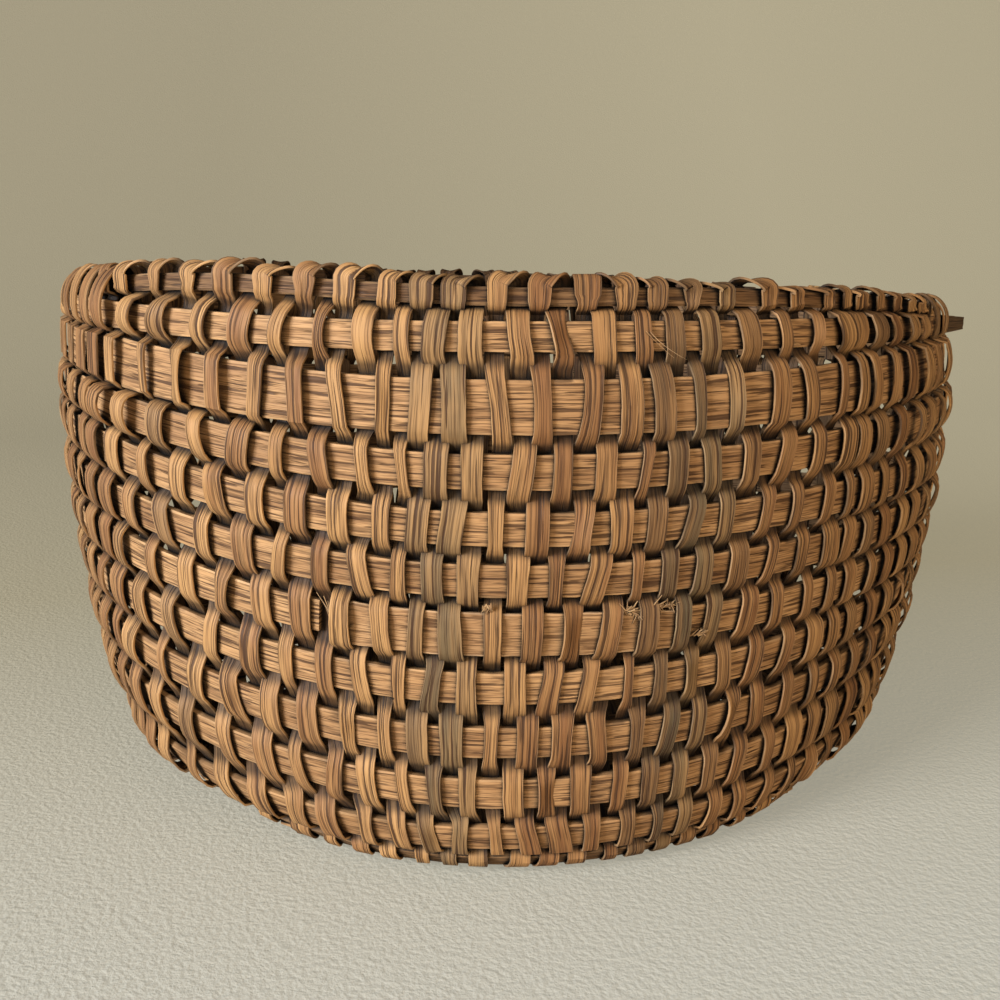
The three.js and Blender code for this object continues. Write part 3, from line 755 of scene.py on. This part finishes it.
def wall_stations(strand):
    """Crossings of one strand from the rim down to the foot hoop."""
    stations = []
    chance = random.Random(1000 + strand % STRANDS)
    for row in range(len(HOOPS)):
        angle = strand_angle(strand, row)
        middle, ahead, _, out = hoop_frame(row, angle)
        side = 1 if (row + strand) % 2 == 0 else -1
        seat, half = SEAT, HOOPS[row].width / 2
        if row == SPLICED and side > 0 and SPLICE_FROM < angle < SPLICE_TO:
            seat, half = SEAT + SPLICE_THICK + SPLICE_SEAT, SPLICE_WIDTH / 2
        bulge = chance.uniform(*SLACK) + stand_off(angle) * chance.uniform(*STAND_OFF)
        if row in HIGH_ROWS:
            bulge += stand_off(angle) * chance.uniform(*HIGH_STAND_OFF)
        if row == FOOT:
            bulge, seat = FOOT_SLACK, SEAT + FOOT_SEAT
        odd = chance.random() if side > 0 else 1.0
        stations.append({
            "at": middle, "out": out, "round": ahead, "half": half, "off": side * seat,
            "bulge": bulge if side > 0 else INNER_SLACK,
            "end": end_share(angle) * (LEAN_BACK if row == LEAN_BACK_ROW else 1),
            "twist": chance.choice((-1, 1)) * chance.uniform(*TWIST) if odd < TWISTED else 0.0,
            "narrow": chance.uniform(*NARROWING) if odd < NARROWED else 0.0,
            "over": COME_OUT_HIGH if row == 1 else COME_OUT,
            "waist": chance.uniform(*WAIST) if row == 0 else 0.0,
            "lean": max(side, 0) * min(row, 1) * chance.uniform(-1, 1) ** 3,
        })
    return stations


def base_stations(strand):
    """Crossings under the base from the front foot hoop to the back one."""
    front = hoop_point(FOOT, strand_angle(strand, FOOT))
    back = hoop_point(FOOT, strand_angle(STRANDS // 2 - strand, FOOT))
    stations = []
    for number, y in enumerate(RIB_LINES, 1):
        share = (y - front[1]) / (back[1] - front[1])
        x = front[0] + (back[0] - front[0]) * share
        if abs(x) > rib_reach(y) - 1:
            continue
        side = 1 if (FOOT + number + strand) % 2 == 0 else -1
        stations.append({
            **PLAIN, "at": base_point(x, y), "out": np.array([0.0, 0, -1]),
            "round": np.array([1.0, 0, 0]), "half": BASE_RIB_WIDTH / 2, "off": side * SEAT,
            "bulge": 0.0 if side > 0 else FOOT_SLACK,
        })
    return stations


def strand_path(stations):
    """Way of a strand through its crossings: points, directions round the basket, bends (1 outside,
    -1 inside), twists and widths. A strand comes out sharply over the upper edge of a hoop. Near
    the ends of the basket it stands off there, and then slants down behind the next hoop."""
    at = np.array([s["at"] for s in stations])
    padded = np.concatenate([[2 * at[0] - at[1]], at, [2 * at[-1] - at[-2]]])
    points, rounds, bends, twists, widths = [], [], [], [], []
    for i in range(len(stations) - 1):
        a, b = stations[i], stations[i + 1]
        f = np.linspace(0, 1, STEPS, endpoint=False)[:, None]
        p0, p1, p2, p3 = padded[i:i + 4]
        middle = 0.5 * (2 * p1 + (p2 - p0) * f + (2 * p0 - 5 * p1 + 4 * p2 - p3) * f ** 2
                        + (3 * p1 - p0 - 3 * p2 + p3) * f ** 3)
        apart = np.linalg.norm(p2 - p1)
        end = (a["end"] + b["end"]) / 2
        low = TURN_IN * a["half"] / apart
        high = 1 - (b["over"] + COME_OUT_END * end) * b["half"] / apart
        if high - low < LEAST_TURN:  # the hoops nearly touch
            low, high = (low + high) / 2 - LEAST_TURN / 2, (low + high) / 2 + LEAST_TURN / 2
        turn = smooth((f - low) / (high - low))
        bend = np.sign(a["off"]) * (1 - turn) + np.sign(b["off"]) * turn
        seat = abs(a["off"]) * (1 - f) + abs(b["off"]) * f
        first = f < 0.5
        swell, half = np.where(first, a["bulge"], b["bulge"]), np.where(first, a["half"], b["half"])
        beyond = np.where(first, f, f - 1) * apart
        crest = 1 - ((beyond + CREST_DROP * end * half) / (half * CREST_REACH)) ** 2
        crest = np.clip(crest, 0, 1)
        here = np.clip(1 - (beyond / (half * TWIST_REACH)) ** 2, 0, 1)
        lean, narrow = 0.0, 0.0
        for station, away in ((a, f * apart), (b, (f - 1) * apart)):
            share = away / station["half"]
            lean += station["lean"] * share * np.exp(-(share / LEAN_REACH) ** 6)
            narrow += station["narrow"] * np.exp(-(share / NARROW_REACH) ** 4)
        if i == 0 and a["off"] > 0:
            narrow += a["waist"] * smooth(f / 0.6) * smooth((1.2 - f) / 0.5)
        out = unit(a["out"] * (1 - f) + b["out"] * f)
        around = unit(a["round"] * (1 - f) + b["round"] * f)
        points.append(middle + out * (bend * seat + swell * crest * np.sign(bend)) + around * lean)
        rounds.append(around)
        bends.append(bend[:, 0])
        twists.append((np.where(first, a["twist"], b["twist"]) * here)[:, 0])
        widths.append((1 - narrow)[:, 0])
    last = stations[-1]
    reach = last["off"] + np.sign(last["off"]) * last["bulge"]
    points.append((last["at"] + last["out"] * reach)[None])
    rounds.append(last["round"][None])
    bends.append([np.sign(last["off"])])
    twists.append([0.0])
    widths.append([1.0])
    return [np.concatenate(part) for part in (points, rounds, bends, twists, widths)]


def rim_loop(outer, inner, chance):
    """Loop over the rim hoop from the outside of one strand to the inside of its neighbour."""
    a, b = wall_stations(outer)[0], wall_stations(inner)[0]
    hoop, back = HOOPS[0], max(a["at"][1], 0)
    edge = hoop.width / 2 - 0.6
    rise = chance.uniform(*LOOP_RISE) - LOOP_LESS_BACK * back / hoop.depth
    rise -= LOOP_LESS_RIGHT * smooth(2 * a["at"][0] / hoop.length)
    turn = np.linspace(0, math.pi, LOOP_STEPS)
    share = smooth((turn - 0.35) / (math.pi - 0.9))[:, None]
    middle = a["at"] * (1 - share) + b["at"] * share
    out = unit(a["out"] * (1 - share) + b["out"] * share)
    start, finish = a["off"] + a["bulge"] + 0.25, b["off"] - 0.5
    reach = (start + finish) / 2 + (start - finish) / 2 * np.cos(turn)
    points = middle + out * reach[:, None]
    points[:, 2] += edge + rise * np.sin(turn)
    rounds = unit(a["round"] * (1 - share) + b["round"] * share)
    # Loops on the back of the rim get a lower bend, which paints shade on them.
    bend = 1 - 2 * smooth((turn - 1.2) / (math.pi - 1.2)) - 1.5 * back / hoop.depth
    return points, rounds, bend, np.zeros(LOOP_STEPS), np.ones(LOOP_STEPS)


def end_loop(strand, row, chance):
    """Round loop near an end of the basket, from the outside of a row over the rim hoop to its
    inside. There the second hoop stands nearly as high as the rim, and its strands go over both."""
    stations = wall_stations(strand)
    low, rim = stations[row], stations[0]
    turn = np.linspace(0, math.pi, LOOP_STEPS)
    share = ((1 - np.cos(turn)) / 2)[:, None]
    start = low["at"] + low["out"] * (SEAT + low["bulge"]) + np.array([0, 0, 0.3 * low["half"]])
    finish = rim["at"] - rim["out"] * (SEAT + chance.uniform(0.3, 1.2))
    points = start * (1 - share) + finish * share
    top = rim["at"][2] + rim["half"] + chance.uniform(1.5, 3.6)
    points[:, 2] += (top - (start[2] + finish[2]) / 2) * np.sin(turn) ** 0.9
    hang = finish - np.array([0, 0, 1.0]) * np.linspace(1.0, chance.uniform(4, 9), 4)[:, None]
    points = np.concatenate([points, hang])
    count = len(points)
    bend = 1 - 2 * smooth((np.arange(count) / LOOP_STEPS - 0.4) / 0.5)
    return points, np.tile(low["round"], (count, 1)), bend, np.zeros(count), np.ones(count)


def tail(stations):
    """Short end of a strand, turned in under the foot hoop."""
    last = stations[-1]
    inward = unit(-last["at"] * np.array([1, 1, 0]))
    return {**PLAIN, "at": last["at"] + inward * TAIL_LENGTH - np.array([0, 0, TAIL_DROP]),
            "out": np.array([0.0, 0, -1]), "round": last["round"], "half": 3, "off": -last["off"]}


def leg(strand):
    """Stations of a strand from the rim to its lower end. A front strand runs on under the base
    to the back foot hoop, and a back strand ends in a short tail."""
    stations = wall_stations(strand)
    if abs(strand) <= LAST_CROSS:
        stations += base_stations(strand)
        back = wall_stations(STRANDS // 2 - strand)[-1]
        stations.append({**back, "round": -back["round"]})
    elif abs(abs(strand) - STRANDS // 2) > LAST_CROSS:
        stations.append(tail(stations))
    return stations


def strip_of(way, chance, breadth, tone, aged):
    """Strip along the way of a strand, a little uneven in width."""
    points, rounds, bend, twist, width = way
    forward = unit(np.gradient(points, axis=0))
    across = unit(rounds - forward * (rounds * forward).sum(1, keepdims=True))
    facing = unit(np.cross(across, forward))
    twist = twist[:, None]
    across, facing = (across * np.cos(twist) + facing * np.sin(twist),
                      facing * np.cos(twist) - across * np.sin(twist))
    run = lengths(points, chance.uniform(0, 4000))
    wave = np.sin(run * 90 + chance.uniform(0, 6)) * 0.05 + np.sin(run * 233) * 0.03
    return {
        "points": points, "facing": facing, "across": across,
        "wide": breadth * width * (1 + 0.05 * (1 - np.abs(bend))) + wave, "deep": 1.0, "along": run,
        "tone": tone, "aged": aged, "bend": bend,
    }


def weaver(outer):
    """One weaver: up as one strand outside the rim, over it and down as its neighbour."""
    inner = outer + (1 if outer < 0 else -1)
    chance = random.Random(5000 + outer)
    rising, falling = strand_path(leg(outer)), strand_path(leg(inner))
    way = [np.concatenate([up[:0:-1], loop, down[1:]])
           for up, loop, down in zip(rising, rim_loop(outer, inner, chance), falling)]
    over = smooth((np.arange(len(way[0])) - len(rising[0]) + 1) / LOOP_STEPS)
    breadth = BREADTH[outer % STRANDS] * (1 - over) + BREADTH[inner % STRANDS] * over
    aged = AGED_STRANDS.get(outer, 0.0) * (1 - over) + AGED_STRANDS.get(inner, 0.0) * over
    return strip_of(way, chance, breadth, PAIR_TONE[outer % STRANDS // 2], aged)


def alone(strand, way, chance):
    """A strand by itself, with its own width, tone and age. Those at the ends are narrower."""
    slim = 1 - 0.2 * smooth((abs(math.cos(ANGLES[strand % STRANDS])) - 0.8) / 0.15)
    return strip_of(way, chance, slim * BREADTH[strand % STRANDS], PAIR_TONE[strand % STRANDS // 2],
                    AGED_STRANDS.get(strand, 0.0))


def end_strand(strand, row):
    """A strand near an end of the basket, looped over the rim by itself and cut off inside it."""
    chance = random.Random(5000 + strand)
    way = [np.concatenate([up[:0:-1], loop])
           for up, loop in zip(strand_path(leg(strand)[row:]), end_loop(strand, row, chance))]
    return alone(strand, way, chance)


def single(strand, first_row):
    """A strand with no loop, cut off just above its uppermost crossing."""
    return alone(strand, strand_path(leg(strand)[first_row:]), random.Random(5000 + strand))


weaver_oak = oak(
    "weaver_oak",
    ((0.45, 0.258, 0.10), (0.22, 0.102, 0.037), (0.042, 0.018, 0.007), (0.115, 0.09, 0.048),
     (0.60, 0.41, 0.22)),
    fine=1700, long=26, pore_depth=0.88, edge_share=0.3, bump=0.8,
)
WORM_HOLES = (
    # place in millimetres and radius of each hole that insects have bored in one front strand
    (-51.1, -101.5, 63.2, 0.50), (-50.6, -101.7, 60.9, 0.42), (-51.8, -101.3, 60.4, 0.45),
    (-53.6, -100.7, 63.7, 0.28), (-50.8, -101.4, 58.7, 0.30),
)
HOLE_SLIM = 0.15  # a hole is longer into the wall than across it, by the inverse of this
tree, shader = weaver_oak.node_tree, weaver_oak.node_tree.nodes["Principled BSDF"]
spot = new_node(tree, "ShaderNodeTexCoord", {})["Object"]
squeezed = vectors(tree, "MULTIPLY", spot, (1.0, HOLE_SLIM, 1.0))
# Each hole is a near-black spot painted into the strand's colour: painted shade for the hollow.
for x, y, z, radius in WORM_HOLES:
    centre = (x * MM, HOLE_SLIM * y * MM, z * MM)
    near = vectors(tree, "DISTANCE", squeezed, centre, "Value")
    rim = ranged(tree, near, 0.7 * radius * MM, 1.2 * radius * MM, 0.04, how="LINEAR")
    before = shader.inputs["Base Color"].links[0].from_socket
    tree.links.new(mixed(tree, 1.0, before, rim, "MULTIPLY"), shader.inputs["Base Color"])
CROSS_NODES = [f"cross_weaver_{n:02d}" for n in range(1, 12)]
GROUPS = {
    # piece: (first and last strand outside the rim, CAD nodes that it stands for)
    "weavers_front_far_left": (-28, -14, CROSS_NODES[:3]),
    "weavers_front_left": (-12, -2, CROSS_NODES[3:6]),
    "weavers_front_right": (2, 14, CROSS_NODES[6:8]),
    "weavers_front_far_right": (16, 28, CROSS_NODES[8:]),
    "weavers_right_end": (30, 44, [f"right_weaver_{n:02d}" for n in range(1, 10)]),
    "weavers_back_right": (46, 74, CROSS_NODES[6:]),
    "weavers_back_left": (-72, -46, CROSS_NODES[:6]),
    "weavers_left_end": (-44, -30, [f"left_weaver_{n:02d}" for n in range(1, 10)]),
}
for index, (name, (first, last, replaced)) in enumerate(GROUPS.items()):
    strips = []
    for strand in range(first, last + 1, 2):
        if abs(math.cos(strand_angle(strand, 0))) > END_LOOPS_FROM:
            strips += [end_strand(strand, 0), end_strand(strand + (1 if strand < 0 else -1), 1)]
        else:
            strips.append(weaver(strand))
    # The two odd strands, which have no neighbour to be one weaver with
    if name == "weavers_front_right":
        strips.append(end_strand(0, 0))
    if name == "weavers_back_left":
        strips.append(single(-73, 1))
    splints(name, strips,
            {"Width": WEAVER_WIDTH * MM, "Thickness": WEAVER_THICK * MM, "Edge": 0.12 * MM,
             "Ragged": 0.16 * MM, "Relief": 0.0, "Seed": 70.0 + index, "Cuts": 1},
            weaver_oak, replaced)


# ---- Frayed ends ----
# Where splints have broken or worn through, pale split fibres stand out: at both ends of the
# splice, at the end of one strand, and as a stub and a few loose hairs below the rim.

FIBRE_WIDTH, FIBRE_THICK, FIBRE_STEPS = 0.3, 0.16, 7
FRAYS = (
    # row, angle, up the hoop, outwards, fibres, length, direction (round, up, out), scatter, width
    (6, -115.9, -5.6, 0.6, 12, 11.0, (0.05, 1.0, 0.15), 0.1, 1.6),
    (6, -84.0, 6.2, 2.5, 26, 2.2, (0.4, 0.1, 0.0), 0.4, 1.2),
    (6, -83.2, 5.4, 2.5, 26, 2.2, (0.4, -0.2, 0.0), 0.4, 1.2),
    (6, -80.9, 6.7, 2.2, 30, 2.6, (1.0, 0.1, 0.0), 0.25, 1.2),
    (6, -79.5, 6.8, 2.2, 26, 2.2, (0.8, 0.0, 0.0), 0.4, 1.2),
    (6, -75.6, -3.4, 2.5, 30, 2.6, (1.0, 0.4, 0.05), 0.35, 1.1),
    (5, -98.9, -6.6, 2.5, 20, 1.8, (0.1, -1.0, 0.1), 0.3, 1.1),
    (1, -65.9, -4.2, 1.6, 3, 5.0, (0.9, 0.9, 0.2), 0.1, 3.6),
    (1, -83.4, 1.5, 2.6, 2, 10.0, (0.4, -1.0, 0.3), 0.4, 0.5),
)
split_oak = oak(
    "split_oak",
    ((0.54, 0.36, 0.18), (0.30, 0.17, 0.075), (0.14, 0.07, 0.026), AGED_OAK,
     (0.62, 0.45, 0.26)),
    fine=1700, long=60, pore_depth=0.3, edge_share=0.3, bump=0.5,
)
fray = random.Random(31)
strips = []
for row, angle, raised, outwards, count, length, direction, scatter, width in FRAYS:
    middle, ahead, up, out = hoop_frame(row, math.radians(angle))
    way = np.linspace(0, 1, FIBRE_STEPS)[:, None]
    for _ in range(count):
        aim = [part + fray.gauss(0, scatter) for part in direction]
        aim[2] = max(aim[2], 0.02)
        heading = unit(ahead * aim[0] + up * aim[1] + out * aim[2])
        curl = ahead * fray.gauss(0, 0.3) + up * fray.gauss(0, 0.3) + out * fray.uniform(-0.2, 0.15)
        start = middle + up * (raised + fray.gauss(0, 0.4)) + out * outwards
        start = start + ahead * fray.gauss(0, 0.7)
        points = start + (heading * way + curl * way ** 2) * length * fray.uniform(0.5, 1.0)
        forward = unit(np.gradient(points, axis=0))
        across = unit(np.cross(forward, out))
        strips.append({
            "points": points, "facing": unit(np.cross(across, forward)), "across": across,
            "wide": width * (1 - 0.7 * way[:, 0] ** 2), "deep": 1.0,
            "along": lengths(points, fray.uniform(0, 500)), "tone": fray.random(), "aged": 0.0,
            "bend": 1.0,
        })
splints("frayed_fibres", strips,
        {"Width": FIBRE_WIDTH * MM, "Thickness": FIBRE_THICK * MM, "Edge": 0.0, "Ragged": 0.02 * MM,
         "Relief": 0.0, "Seed": 90.0, "Cuts": 1},
        split_oak, [])
